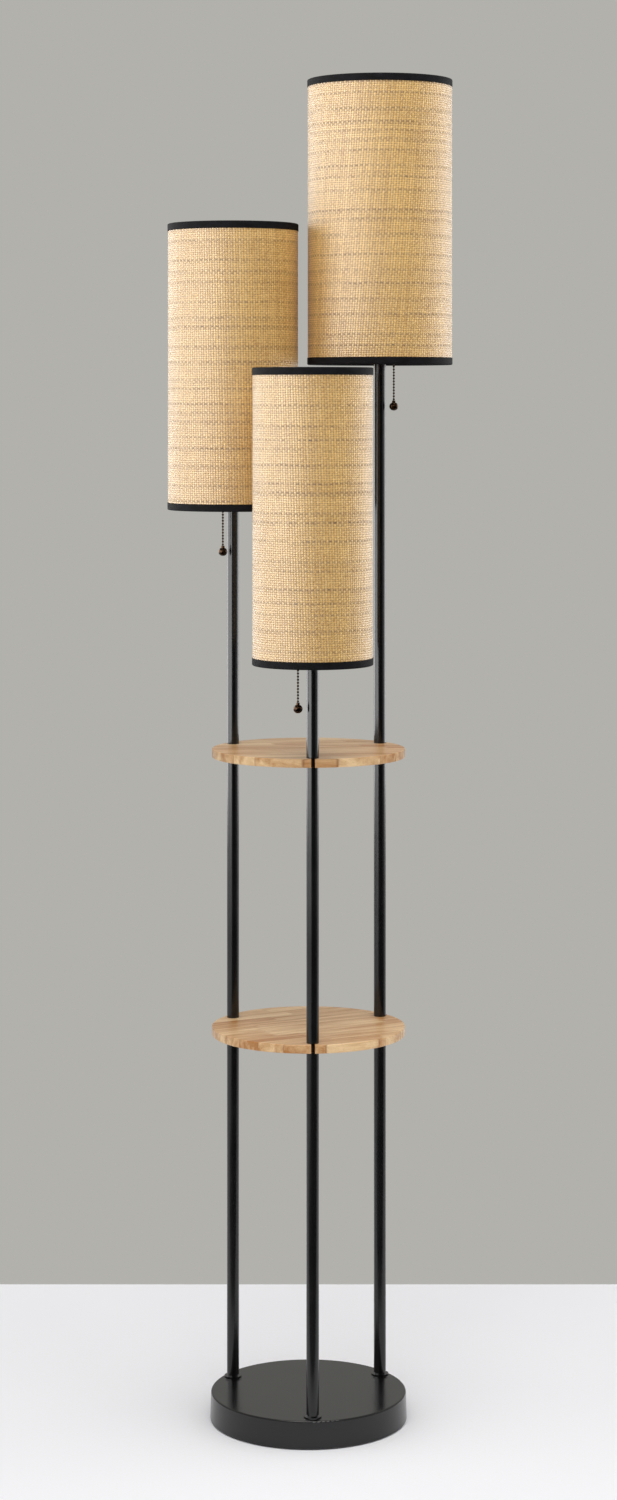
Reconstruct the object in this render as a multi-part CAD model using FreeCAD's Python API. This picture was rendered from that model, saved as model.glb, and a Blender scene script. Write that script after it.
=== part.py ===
import FreeCAD
import Part
import math
import os
from FreeCAD import Vector

# Shelf floor lamp: three black tube poles stand on a round weighted base and pass through two round
# wooden shelves. Each pole carries a tall drum shade of woven paper, at its own height, over a
# pull-chain lampholder. Millimetres, +Z up, origin on the floor under the middle of the base.
# The front is -Y. Every pole is three tubes, screwed end to end through the shelves on hollow
# threaded nipples, and the shelf rims are slotted so that the pole's lead can be slipped in.

# ---- driving dimensions -------------------------------------------------------------------------
POLE_NAMES = ("front", "right", "left")
POLE_TWIST = 2.7             # the front pole stands this many degrees to the right of -Y
SHADE_R = {"front": 76.0, "right": 95.0, "left": 85.5}
SHADE_BOTTOM = {"front": 984.0, "right": 1364.0, "left": 1174.0}
SHADE_H = 375.0
SHADE_CLEARANCE = 12.6       # the poles stand so far apart that the two widest shades clear by this

BASE_H = 36.0                # floor to top of base
BASE_MARGIN = 14.7           # pole's axis to the base's top edge
BASE_FLARE = 1.0             # the drawn cover is this much wider at the floor
BASE_WALL = 1.2
BASE_EDGE_R = 2.0            # rounded top edge of the cover
BASE_RIM_GAP = 1.5           # cover rim to floor

FELT_INSET = 8.2             # rim of the felt, in from the foot of the cover
FELT_T = 1.6
PLATE_T = 1.2
PLATE_GAP = 0.3              # bottom plate to cover wall

WEIGHT_SIDE_GAP = 5.0        # iron to cover wall
WEIGHT_T = 16.5
WEIGHT_TOP_GAP = 0.3
WEIGHT_WELL_R = 30.0         # middle well over the terminal block
WEIGHT_WELL_H = 6.0
NUT_POCKET_R = 14.0
NUT_POCKET_H = 8.0
BOSS_R = 7.0                 # cast bosses that take the plate screws
BOSS_CIRCLE_R = 60.0
SCREW_HOLE_SPARE = 3.4       # screw hole's depth past the screw

TUBE_R = 7.95
TUBE_WALL = 1.0
INSERT_L = 15.0              # threaded bush in each tube end
NIPPLE_R = 4.85
NIPPLE_BORE_R = 3.2
NIPPLE_IN_TUBE = 12.0        # how far a nipple screws into a tube end
NIPPLE_HOLE_GAP = 0.4        # radial gap of a nipple in wood, cover and iron
THREAD_GAP = 0.1             # radial gap of a nipple in its thread
SLIP_GAP = 0.05              # radial gap of a bush in a tube
SEAT_GAP = 0.3               # pieces that rest on one another without a fit

COLLAR_REACH = 3.3           # flat ring between base and tube, wider than the tube by this
COLLAR_T = 2.6
NUT_ACROSS_FLATS = 14.0
NUT_T = 4.0
WASHER_R = 9.0
WASHER_T = 1.0
NIPPLE_BELOW_NUT = 0.8

SHELF_MARGIN = 13.5          # pole's axis to the shelf's rim
SHELF_T = 11.0
SHELF_EDGE_R = 1.0           # eased edges of the wood
SHELF_SLOT_GAP = 0.1         # the slot from hole to rim clears the lead by this on each side
LOWER_SHELF_TOP = 508.0
UPPER_SHELF_TOP = 867.0

SHADE_WALL = 1.0
TRIM_T = 0.5                 # black tape folded over both rims
TRIM_H = 9.6                 # height of the tape on the outside
TRIM_INNER_H = 4.4           # height of the tape on the inside
TRIM_GAP = 0.05
WIRE_R = 1.5                 # wire of the shade frame
WIRE_GAP = 0.05              # frame wire to shade wall and to tape
ARM_R = 1.3                  # wire of the fitter's arms
ARM_FOOT_H = 10.0            # an arm runs straight up the wall before it slopes in
ARM_KNEE_R = 6.0

# lampholder, measured up from the bottom of its shade
POLE_END = 40.0              # top of the upper tube
HUB_H = 6.0                  # thick bottom of the socket cap
HUB_WALL = 3.6
CAP_H = 20.0
CAP_WALL = 1.3
CAP_BELLY = 1.2              # the cap's flare bulges outwards and down by this
SHELL_WALL = 1.0
SHELL_H = 48.0
SHOULDER_W = 2.5             # collar of the shell that the shade fitter sits on
SHOULDER_T = 1.5
SHOULDER_H = 25.0            # bottom of shell to underside of the collar
FITTER_W = 6.0               # the fitter's flat ring, out from the shell
FITTER_T = 1.5
FITTER_GAP = 0.3             # fitter hole to shell
RING_NUT_W = 5.0
RING_NUT_T = 6.0
RING_NUT_NOTCHES = 12
NOTCH_R = 1.2
INSULATOR_GAP = 0.3          # insulator to shell
INSULATOR_FLOOR = 20.0       # height of the solid lower part of the insulator
SLEEVE_H = 44.0              # full height of the insulator with its sleeve
SLEEVE_WALL = 1.5
SCREW_SHELL_WALL = 0.5
SCREW_SHELL_H = 23.0
SCREW_SHELL_HOLE_R = 5.0
CONTACT_R = 3.0
CONTACT_H = 2.5

BULB_CAP_R = 13.0            # standard screw cap of about 26 mm
BULB_CAP_GAP = 0.4           # bulb cap to screw shell
BULB_CAP_H = 24.0
BULB_TIP_R = 4.5
BULB_TIP_H = 1.2
BULB_CONE_H = 3.0
BULB_THREADS = 5
BULB_THREAD_DEPTH = 0.6
BULB_NECK_STEP = 1.0         # glass neck, wider than the cap by this
BULB_R = 30.0
BULB_H = 88.0
BULB_WALL = 1.0
BULB_SHOULDER = 1.5          # the flank bulges this far past the middle of its neck and globe
BULB_SHOULDER_AT = 0.45      # ... at this share of the flank's height

# pull switch
CHAIN_OUT = 3.0              # the chain hangs this far out from the shell
CHAIN_ANGLE = {"front": 202.0, "right": -24.6, "left": 229.5}
CHAIN_DROP = 60.0            # bottom of shade to bottom of the ball
CHAIN_TRAVEL = 6.9           # the lever swings from half this above level to half below it
BEAD_R = 1.5
BEAD_PITCH = 3.9
LINK_R = 0.5
BALL_R = 6.0
BALL_SQUASH = 0.93           # the ball is slightly flat
BALL_NECK_R = 2.4
BALL_NECK_H = 2.2
LEVER_ARM = 12.0
LEVER_T = 1.6
LEVER_TIP_R = 1.6
LEVER_EYE_R = 3.2
LEVER_LEVEL_H = 8.0          # pivot above the bottom of the shell
LEVER_PIN_R = 1.0
LEVER_PIN_HOLD = 4.0         # how deep the pin sits in the insulator on each side of the slot
LEVER_HOLE_GAP = 0.05
LEVER_SLOT_GAP = 0.4         # each side of the lever
SPOUT_BORE_GAP = 0.9         # bead to spout
SPOUT_WALL = 1.6
SPOUT_FOOT = 1.0             # spout starts this far above the bottom of the shell

LEAD_R = 2.4                 # two-core lead in each pole
LEAD_TAIL = 4.0              # end of the lead above the socket cap's hub
LEAD_BEND_GAP = 0.2          # the bend starts this far under the foot nipple
LEAD_RUN_Z = 6.5             # height of the lead under the weight
BLOCK_R = 16.0               # terminal block where the leads meet
BLOCK_T = 13.0
SCREW_R = 1.9
SCREW_L = 11.0
SCREW_HEAD_R = 3.6
GROMMET_BORE_R = 3.2         # supply lead's hole
GROMMET_WALL = 1.7
GROMMET_FLANGE_W = 1.4
GROMMET_FLANGE_T = 1.5
GROMMET_Z = 10.5
GROMMET_HOLE_GAP = 0.1

CUT_OVER = 1.0               # a hole is cut from this far outside the face

# ---- derived sizes and places -------------------------------------------------------------------
POLE_ANGLE = {n: POLE_TWIST - 90.0 + 120.0 * k for k, n in enumerate(POLE_NAMES)}
POLE_CIRCLE_R = (SHADE_R["right"] + SHADE_R["left"] + SHADE_CLEARANCE) / math.sqrt(3)
SHELF_R = POLE_CIRCLE_R + SHELF_MARGIN
BASE_R_TOP = POLE_CIRCLE_R + BASE_MARGIN
BASE_R_FOOT = BASE_R_TOP + BASE_FLARE
FELT_R = BASE_R_FOOT - FELT_INSET
WEIGHT_R = BASE_R_TOP - BASE_WALL - WEIGHT_SIDE_GAP
COLLAR_R = TUBE_R + COLLAR_REACH
NIPPLE_HOLE_R = NIPPLE_R + NIPPLE_HOLE_GAP
SHELF_SLOT_W = 2 * (LEAD_R + SHELF_SLOT_GAP)
GROMMET_NECK_R = GROMMET_BORE_R + GROMMET_WALL
GROMMET_FLANGE_R = GROMMET_NECK_R + GROMMET_FLANGE_W
PLATE_BOTTOM = FELT_T
PLATE_TOP = PLATE_BOTTOM + PLATE_T
COVER_CEILING = BASE_H - BASE_WALL
WEIGHT_TOP = COVER_CEILING - WEIGHT_TOP_GAP
WEIGHT_BOTTOM = WEIGHT_TOP - WEIGHT_T
POCKET_CEILING = WEIGHT_BOTTOM + NUT_POCKET_H
NUT_BOTTOM = POCKET_CEILING - WASHER_T - NUT_T
FOOT_NIPPLE_BOTTOM = NUT_BOTTOM - NIPPLE_BELOW_NUT
LEAD_BEND_R = FOOT_NIPPLE_BOTTOM - LEAD_BEND_GAP - LEAD_RUN_Z
LOWER_TUBE_BOTTOM = BASE_H + COLLAR_T
THREAD_R = NIPPLE_R + THREAD_GAP
INSERT_R = TUBE_R - TUBE_WALL - SLIP_GAP
SHELF_TOPS = (LOWER_SHELF_TOP, UPPER_SHELF_TOP)

nodes = {}


def add(name, *solids):
    """Keeps the solids as one named node."""
    nodes.setdefault(name, []).extend(solids)


def polar(radius, degrees, z=0.0):
    a = math.radians(degrees)
    return Vector(radius * math.cos(a), radius * math.sin(a), z)


def pole_at(name, z=0.0):
    return polar(POLE_CIRCLE_R, POLE_ANGLE[name], z)


def cylinder(radius, bottom, top, at=Vector()):
    return Part.makeCylinder(radius, top - bottom, Vector(at.x, at.y, bottom))


def pipe(outer, inner, bottom, top, at=Vector()):
    return cylinder(outer, bottom, top, at).cut(cylinder(inner, bottom, top, at))


def box(x0, x1, y0, y1, z0, z1):
    return Part.makeBox(x1 - x0, y1 - y0, z1 - z0, Vector(x0, y0, z0))


def lathe(outline):
    """Solid of revolution about Z. A step of the outline is (r, z), or (mid, end) for an arc."""
    edges = []
    here = outline[0]
    for step in list(outline[1:]) + [outline[0]]:
        start = Vector(here[0], 0, here[1])
        if isinstance(step[0], tuple):
            mid, end = step
            edges.append(Part.Arc(start, Vector(mid[0], 0, mid[1]), Vector(end[0], 0, end[1])).toShape())
            here = end
        else:
            edges.append(Part.LineSegment(start, Vector(step[0], 0, step[1])).toShape())
            here = step
    face = Part.Face(Part.Wire(edges))
    return face.revolve(Vector(), Vector(0, 0, 1), 360)


def corner(centre, radius, degrees):
    """Point on a circle in the outline's plane, for the middle of a rounded corner."""
    a = math.radians(degrees)
    return (centre[0] + radius * math.cos(a), centre[1] + radius * math.sin(a))


def placed(shape, at, degrees=0.0):
    """A copy turned about Z by degrees and moved to a point."""
    out = shape.copy()
    out.rotate(Vector(), Vector(0, 0, 1), degrees)
    out.translate(at)
    return out


def hexagon(across_flats, bottom, top, at):
    r = across_flats / math.sqrt(3)
    points = [polar(r, 60 * k, bottom) + Vector(at.x, at.y, 0) for k in range(7)]
    return Part.Face(Part.makePolygon(points)).extrude(Vector(0, 0, top - bottom))


# ---- base ---------------------------------------------------------------------------------------
def base_cover():
    """Drawn steel dish, open downwards, with three pole holes and a hole for the supply lead."""
    e, w = BASE_EDGE_R, BASE_WALL
    inner_e = e - w
    outer_centre = (BASE_R_TOP - e, BASE_H - e)
    shell = lathe([
        (0, COVER_CEILING), (BASE_R_TOP - e, COVER_CEILING),
        (corner(outer_centre, inner_e, 45), (BASE_R_TOP - w, BASE_H - e)),
        (BASE_R_FOOT - w, BASE_RIM_GAP), (BASE_R_FOOT, BASE_RIM_GAP), (BASE_R_TOP, BASE_H - e),
        (corner(outer_centre, e, 45), (BASE_R_TOP - e, BASE_H)), (0, BASE_H),
    ])
    for name in POLE_NAMES:
        hole = cylinder(NIPPLE_HOLE_R, COVER_CEILING - CUT_OVER, BASE_H + CUT_OVER, pole_at(name))
        shell = shell.cut(hole)
    return shell.cut(grommet_hole())


def grommet_axis():
    """Direction of the lead hole: straight back, midway between the two rear poles."""
    return polar(1.0, POLE_ANGLE["front"] + 180.0)


def grommet_hole():
    out = grommet_axis()
    start = out * WEIGHT_R + Vector(0, 0, GROMMET_Z)
    return Part.makeCylinder(GROMMET_NECK_R + GROMMET_HOLE_GAP, 2 * (BASE_R_FOOT - WEIGHT_R), start, out)


def cord_grommet():
    """Rubber bush in the cover's wall, with a flange on each side of the sheet."""
    seat = SEAT_GAP / 2 + GROMMET_FLANGE_R ** 2 / (2 * BASE_R_FOOT)
    half_flare = (BASE_R_FOOT - BASE_R_TOP) / 2
    outer_face = BASE_R_FOOT + seat
    inner_face = BASE_R_FOOT - BASE_WALL - half_flare - seat
    t = GROMMET_FLANGE_T
    bush = lathe([
        (GROMMET_BORE_R, inner_face - t), (GROMMET_FLANGE_R, inner_face - t),
        (GROMMET_FLANGE_R, inner_face), (GROMMET_NECK_R, inner_face), (GROMMET_NECK_R, outer_face),
        (GROMMET_FLANGE_R, outer_face), (GROMMET_FLANGE_R - t / 2, outer_face + t),
        (GROMMET_BORE_R, outer_face + t),
    ])
    bush.rotate(Vector(), Vector(0, 1, 0), 90)
    return placed(bush, Vector(0, 0, GROMMET_Z), POLE_ANGLE["front"] + 180.0)


def boss_at(k):
    return polar(BOSS_CIRCLE_R, POLE_ANGLE["front"] + 60.0 + 120.0 * k)


def base_weight():
    """Cast iron disc with a pocket under each pole nut, a middle well and three screw bosses."""
    disc = cylinder(WEIGHT_R, WEIGHT_BOTTOM, WEIGHT_TOP)
    disc = disc.cut(cylinder(WEIGHT_WELL_R, WEIGHT_BOTTOM, WEIGHT_BOTTOM + WEIGHT_WELL_H))
    for name in POLE_NAMES:
        disc = disc.cut(cylinder(NUT_POCKET_R, WEIGHT_BOTTOM, POCKET_CEILING, pole_at(name)))
        disc = disc.cut(cylinder(NIPPLE_HOLE_R, POCKET_CEILING, WEIGHT_TOP, pole_at(name)))
    for k in range(3):
        hole_end = PLATE_BOTTOM + SCREW_L + SCREW_HOLE_SPARE
        disc = disc.fuse(cylinder(BOSS_R, PLATE_TOP, WEIGHT_BOTTOM, boss_at(k)))
        disc = disc.cut(cylinder(SCREW_R + THREAD_GAP, PLATE_TOP, hole_end, boss_at(k)))
    return disc.removeSplitter()


def plate_screw():
    """Countersunk screw, head flush with the underside of the bottom plate."""
    return lathe([
        (0, PLATE_BOTTOM), (SCREW_HEAD_R, PLATE_BOTTOM), (SCREW_R, PLATE_TOP),
        (SCREW_R, PLATE_BOTTOM + SCREW_L), (0, PLATE_BOTTOM + SCREW_L),
    ])


def base_bottom_plate():
    plate = cylinder(BASE_R_TOP - BASE_WALL - PLATE_GAP, PLATE_BOTTOM, PLATE_TOP)
    sink = Part.makeCone(SCREW_HEAD_R + THREAD_GAP, SCREW_R + THREAD_GAP, PLATE_T)
    for k in range(3):
        plate = plate.cut(placed(sink, boss_at(k) + Vector(0, 0, PLATE_BOTTOM)))
    return plate


def lead(name, top):
    """Two-core lead: down the pole, round a bend under the base and in to the terminal block."""
    axis, inward = pole_at(name), -polar(1.0, POLE_ANGLE[name])
    bend_top = LEAD_RUN_Z + LEAD_BEND_R
    start = Vector(axis.x, axis.y, bend_top)
    turn = LEAD_BEND_R * math.sqrt(0.5)
    mid = start + inward * (LEAD_BEND_R - turn) + Vector(0, 0, -turn)
    end = start + inward * LEAD_BEND_R + Vector(0, 0, -LEAD_BEND_R)
    stop = end + inward * (POLE_CIRCLE_R - LEAD_BEND_R - BLOCK_R - SEAT_GAP)
    path = Part.Wire([
        Part.LineSegment(Vector(axis.x, axis.y, top), start).toShape(),
        Part.Arc(start, mid, end).toShape(),
        Part.LineSegment(end, stop).toShape(),
    ])
    section = Part.Wire(Part.makeCircle(LEAD_R, Vector(axis.x, axis.y, top), Vector(0, 0, 1)))
    return path.makePipeShell([section], True, False)


def make_base():
    add("base_cover", base_cover())
    add("base_weight", base_weight())
    add("base_bottom_plate", base_bottom_plate())
    add("base_felt_pad", cylinder(FELT_R, 0, FELT_T))
    add("cord_grommet", cord_grommet())
    add("terminal_block", cylinder(BLOCK_R, PLATE_TOP + SEAT_GAP, PLATE_TOP + SEAT_GAP + BLOCK_T))
    for k in range(3):
        add("base_plate_screws", placed(plate_screw(), boss_at(k)))
    for name in POLE_NAMES:
        at = pole_at(name)
        add("foot_collars", pipe(COLLAR_R, THREAD_R, BASE_H, LOWER_TUBE_BOTTOM, at))
        add("foot_nipples", pipe(NIPPLE_R, NIPPLE_BORE_R, FOOT_NIPPLE_BOTTOM,
                                 LOWER_TUBE_BOTTOM + NIPPLE_IN_TUBE, at))
        add("foot_nuts", hexagon(NUT_ACROSS_FLATS, NUT_BOTTOM, NUT_BOTTOM + NUT_T, at).cut(
            cylinder(THREAD_R, NUT_BOTTOM, NUT_BOTTOM + NUT_T, at)))
        add("foot_lock_washers", pipe(WASHER_R, THREAD_R, NUT_BOTTOM + NUT_T, POCKET_CEILING, at))


# ---- shelves and poles --------------------------------------------------------------------------
def shelf(top):
    """Wooden disc with a hole for each nipple and a narrow slot from the hole out to the rim."""
    bottom, e = top - SHELF_T, SHELF_EDGE_R
    low, high = (SHELF_R - e, bottom + e), (SHELF_R - e, top - e)
    disc = lathe([
        (0, bottom), (SHELF_R - e, bottom), (corner(low, e, -45), (SHELF_R, bottom + e)),
        (SHELF_R, top - e), (corner(high, e, 45), (SHELF_R - e, top)), (0, top),
    ])
    slot = box(0, SHELF_R, -SHELF_SLOT_W / 2, SHELF_SLOT_W / 2, bottom, top)
    for name in POLE_NAMES:
        disc = disc.cut(cylinder(NIPPLE_HOLE_R, bottom, top, pole_at(name)))
        disc = disc.cut(placed(slot, pole_at(name), POLE_ANGLE[name]))
    return disc


def make_pole(name):
    """Lower, middle and upper tube, with a threaded bush in each tube end."""
    at = pole_at(name)
    tube_ends = (
        ("lower", LOWER_TUBE_BOTTOM, LOWER_SHELF_TOP - SHELF_T),
        ("middle", LOWER_SHELF_TOP, UPPER_SHELF_TOP - SHELF_T),
        ("upper", UPPER_SHELF_TOP, SHADE_BOTTOM[name] + POLE_END),
    )
    for part, bottom, top in tube_ends:
        add(f"{name}_pole_{part}_tube", pipe(TUBE_R, TUBE_R - TUBE_WALL, bottom, top, at))
        for end in (bottom, top - INSERT_L):
            add("tube_end_bushes", pipe(INSERT_R, THREAD_R, end, end + INSERT_L, at))
    for top in SHELF_TOPS:
        add("shelf_nipples", pipe(NIPPLE_R, NIPPLE_BORE_R, top - SHELF_T - NIPPLE_IN_TUBE,
                                  top + NIPPLE_IN_TUBE, at))


# ---- lampholders, modelled about the pole's axis with the bottom of the shade at z 0 -------------
# The radii build up from the bulb's screw cap outwards.
SCREW_SHELL_R = BULB_CAP_R + BULB_CAP_GAP + SCREW_SHELL_WALL
SLEEVE_R = SCREW_SHELL_R + SEAT_GAP
INSULATOR_R = SLEEVE_R + SLEEVE_WALL
SHELL_R = INSULATOR_R + INSULATOR_GAP + SHELL_WALL
SHOULDER_R = SHELL_R + SHOULDER_W
FITTER_R = SHELL_R + FITTER_W
RING_NUT_R = SHELL_R + RING_NUT_W
HUB_R = NIPPLE_R + HUB_WALL
CHAIN_CIRCLE_R = SHELL_R + CHAIN_OUT
SPOUT_BORE_R = BEAD_R + SPOUT_BORE_GAP
SPOUT_R = SPOUT_BORE_R + SPOUT_WALL
BULB_NECK_R = BULB_CAP_R + BULB_NECK_STEP
CAP_TOP = POLE_END + CAP_H
HUB_TOP = POLE_END + HUB_H
SHELL_BOTTOM = CAP_TOP
SHOULDER_BOTTOM = SHELL_BOTTOM + SHOULDER_H
FITTER_BOTTOM = SHOULDER_BOTTOM + SHOULDER_T
RING_NUT_BOTTOM = FITTER_BOTTOM + FITTER_T
INSULATOR_BOTTOM = SHELL_BOTTOM
CONTACT_BOTTOM = INSULATOR_BOTTOM + INSULATOR_FLOOR
BULB_BOTTOM = CONTACT_BOTTOM + CONTACT_H + SEAT_GAP
BULB_CAP_TOP = BULB_BOTTOM + BULB_CAP_H
PIVOT_Z = SHELL_BOTTOM + LEVER_LEVEL_H
PIVOT_X = CHAIN_CIRCLE_R - LEVER_ARM
TIP_RISE = CHAIN_TRAVEL / 2
LEVER_SWING = math.degrees(math.asin(TIP_RISE / LEVER_ARM))
LEVER_TOP = PIVOT_Z + TIP_RISE + LEVER_TIP_R
SPOUT_BOTTOM = SHELL_BOTTOM + SPOUT_FOOT
SPOUT_TOP = LEVER_TOP + 2 * SEAT_GAP
SLOT_HALF = LEVER_T / 2 + LEVER_SLOT_GAP
FIRST_BEAD_Z = PIVOT_Z + TIP_RISE - LEVER_TIP_R - SEAT_GAP - BEAD_R
BALL_Z = -CHAIN_DROP + BALL_R * BALL_SQUASH


def socket_cap():
    """Bell-shaped cap that screws on to the pole and closes the bottom of the shell."""
    flare_low, flare_high = POLE_END + HUB_H / 2, CAP_TOP - HUB_H / 2
    mid_r = (HUB_R + SHELL_R) / 2 + CAP_BELLY
    mid_z = (flare_low + flare_high) / 2 - CAP_BELLY
    w = CAP_WALL
    return lathe([
        (THREAD_R, POLE_END), (HUB_R, POLE_END), (HUB_R, flare_low),
        ((mid_r, mid_z), (SHELL_R, flare_high)), (SHELL_R, CAP_TOP), (SHELL_R - w, CAP_TOP),
        (SHELL_R - w, flare_high), ((mid_r - w, mid_z + w), (HUB_R, HUB_TOP)), (THREAD_R, HUB_TOP),
    ])


def socket_shell():
    """Outer shell with a collar for the shade fitter and a spout that guides the chain."""
    body = lathe([
        (SHELL_R - SHELL_WALL, SHELL_BOTTOM), (SHELL_R, SHELL_BOTTOM), (SHELL_R, SHOULDER_BOTTOM),
        (SHOULDER_R, SHOULDER_BOTTOM), (SHOULDER_R, FITTER_BOTTOM), (SHELL_R, FITTER_BOTTOM),
        (SHELL_R, SHELL_BOTTOM + SHELL_H), (SHELL_R - SHELL_WALL, SHELL_BOTTOM + SHELL_H),
    ])
    at = Vector(CHAIN_CIRCLE_R, 0, 0)
    spout = cylinder(SPOUT_R, SPOUT_BOTTOM, SPOUT_TOP + SHELL_WALL, at)
    spout = spout.cut(cylinder(SHELL_R - SHELL_WALL / 2, SPOUT_BOTTOM, SPOUT_TOP + SHELL_WALL))
    body = body.fuse(spout)
    body = body.cut(cylinder(SPOUT_BORE_R, SPOUT_BOTTOM, SPOUT_TOP, at))
    mouth = Part.makeCone(SPOUT_R - SHELL_WALL / 2, SPOUT_BORE_R, SHELL_WALL)
    body = body.cut(placed(mouth, at + Vector(0, 0, SPOUT_BOTTOM)))
    slot = box(SHELL_R - 2 * SHELL_WALL, CHAIN_CIRCLE_R, -SLOT_HALF, SLOT_HALF, SPOUT_BOTTOM, SPOUT_TOP)
    return body.cut(slot).removeSplitter()


def insulator():
    """Moulded core: a slotted block that holds the switch lever, and a sleeve round the screw shell."""
    body = lathe([
        (0, INSULATOR_BOTTOM), (INSULATOR_R, INSULATOR_BOTTOM), (INSULATOR_R, INSULATOR_BOTTOM + SLEEVE_H),
        (SLEEVE_R, INSULATOR_BOTTOM + SLEEVE_H), (SLEEVE_R, CONTACT_BOTTOM), (0, CONTACT_BOTTOM),
    ])
    back = PIVOT_X - LEVER_EYE_R - SEAT_GAP
    slot = box(back, SHELL_R, -SLOT_HALF, SLOT_HALF, SPOUT_BOTTOM, SPOUT_TOP)
    return body.cut(slot).cut(cross_rod(PIVOT_X, LEVER_PIN_R, INSULATOR_R))


def cross_rod(x, radius, reach):
    """Rod along Y through (x, PIVOT_Z), reaching as far to either side."""
    return Part.makeCylinder(radius, 2 * reach, Vector(x, -reach, PIVOT_Z), Vector(0, 1, 0))


def switch_pin():
    return cross_rod(PIVOT_X, LEVER_PIN_R - SLIP_GAP, SLOT_HALF + LEVER_PIN_HOLD)


def switch_lever():
    """Flat lever on its pin, drawn level and then raised to its rest angle."""
    half, low, high = LEVER_T / 2, PIVOT_Z - LEVER_TIP_R, PIVOT_Z + LEVER_TIP_R
    arm = box(PIVOT_X, CHAIN_CIRCLE_R, -half, half, low, high)
    arm = arm.fuse([cross_rod(PIVOT_X, LEVER_EYE_R, half), cross_rod(CHAIN_CIRCLE_R, LEVER_TIP_R, half)])
    arm = arm.removeSplitter().cut(cross_rod(PIVOT_X, LEVER_PIN_R + LEVER_HOLE_GAP, half))
    arm.rotate(Vector(PIVOT_X, 0, PIVOT_Z), Vector(0, 1, 0), -LEVER_SWING)
    return arm


def pull_chain():
    """Ball chain from the lever's tip down to the ball: beads on a thin link wire."""
    top_of_ball = BALL_Z + BALL_R * BALL_SQUASH + BALL_NECK_H
    count = int((FIRST_BEAD_Z - top_of_ball) / BEAD_PITCH) + 1
    chain = cylinder(LINK_R, top_of_ball, FIRST_BEAD_Z, Vector(CHAIN_CIRCLE_R, 0, 0))
    for k in range(count):
        bead = Part.makeSphere(BEAD_R, Vector(CHAIN_CIRCLE_R, 0, FIRST_BEAD_Z - k * BEAD_PITCH))
        chain = chain.fuse(bead)
    return chain


def pull_ball():
    """Slightly flat ball with a short neck that the chain's end is caught in."""
    high = BALL_R * BALL_SQUASH
    top = BALL_Z + high + BALL_NECK_H
    shoulder = math.degrees(math.asin(BALL_NECK_R / BALL_R))
    z_shoulder = BALL_Z + high * math.cos(math.radians(shoulder))
    half_way = math.sqrt(0.5)
    ball = lathe([
        (0, BALL_Z - high), ((BALL_R * half_way, BALL_Z - high * half_way), (BALL_R, BALL_Z)),
        ((BALL_R * half_way, BALL_Z + high * half_way), (BALL_NECK_R, z_shoulder)),
        (BALL_NECK_R, top), (0, top),
    ])
    return placed(ball, Vector(CHAIN_CIRCLE_R, 0, 0))


def screw_shell():
    bottom, wall = CONTACT_BOTTOM, SCREW_SHELL_WALL
    return lathe([
        (SCREW_SHELL_HOLE_R, bottom), (SCREW_SHELL_R, bottom), (SCREW_SHELL_R, bottom + SCREW_SHELL_H),
        (SCREW_SHELL_R - wall, bottom + SCREW_SHELL_H), (SCREW_SHELL_R - wall, bottom + wall),
        (SCREW_SHELL_HOLE_R, bottom + wall),
    ])


def bulb_cap():
    """Screw cap of the bulb, its thread drawn as round-bottomed rings."""
    cone_top = BULB_BOTTOM + BULB_TIP_H + BULB_CONE_H
    pitch = (BULB_CAP_TOP - cone_top) / (BULB_THREADS + 1)
    outline = [(0, BULB_BOTTOM), (BULB_TIP_R, BULB_BOTTOM), (BULB_TIP_R, BULB_BOTTOM + BULB_TIP_H),
               (BULB_CAP_R, cone_top)]
    for k in range(BULB_THREADS):
        z = cone_top + (k + 1) * pitch
        groove = (BULB_CAP_R - BULB_THREAD_DEPTH, z - pitch / 4)
        outline += [(BULB_CAP_R, z - pitch / 2), (groove, (BULB_CAP_R, z))]
    outline += [(BULB_CAP_R, BULB_CAP_TOP), (0, BULB_CAP_TOP)]
    return lathe(outline)


def bulb_globe():
    """Frosted envelope, open at its neck where the cap closes it."""
    top = BULB_CAP_TOP + BULB_H
    centre_z, w = top - BULB_R, BULB_WALL
    mid_z = BULB_CAP_TOP + (centre_z - BULB_CAP_TOP) * BULB_SHOULDER_AT
    mid = ((BULB_NECK_R + BULB_R) / 2 + BULB_SHOULDER, mid_z)
    slope = math.sqrt(0.5)
    return lathe([
        (BULB_NECK_R, BULB_CAP_TOP), (mid, (BULB_R, centre_z)),
        ((BULB_R * slope, centre_z + BULB_R * slope), (0, top)), (0, top - w),
        (((BULB_R - w) * slope, centre_z + (BULB_R - w) * slope), (BULB_R - w, centre_z)),
        ((mid[0] - w, mid[1]), (BULB_NECK_R - w, BULB_CAP_TOP)),
    ])


def ring_nut():
    nut = pipe(RING_NUT_R, SHELL_R + THREAD_GAP, RING_NUT_BOTTOM, RING_NUT_BOTTOM + RING_NUT_T)
    for k in range(RING_NUT_NOTCHES):
        at = polar(RING_NUT_R, 360.0 * k / RING_NUT_NOTCHES)
        nut = nut.cut(cylinder(NOTCH_R, RING_NUT_BOTTOM, RING_NUT_BOTTOM + RING_NUT_T, at))
    return nut


# ---- shades -------------------------------------------------------------------------------------
def trim(radius):
    """Tape folded over the bottom rim of the shade and the frame wire inside it."""
    out, skin = radius + TRIM_GAP, radius - SHADE_WALL - WIRE_GAP - 2 * WIRE_R - WIRE_GAP
    t = TRIM_T
    return lathe([
        (skin - t, 0), (out + t, 0), (out + t, TRIM_H), (out, TRIM_H), (out, t), (skin, t),
        (skin, TRIM_INNER_H), (skin - t, TRIM_INNER_H),
    ])


def wire_ring(radius, z):
    return Part.makeTorus(radius, WIRE_R, Vector(0, 0, z))


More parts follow.
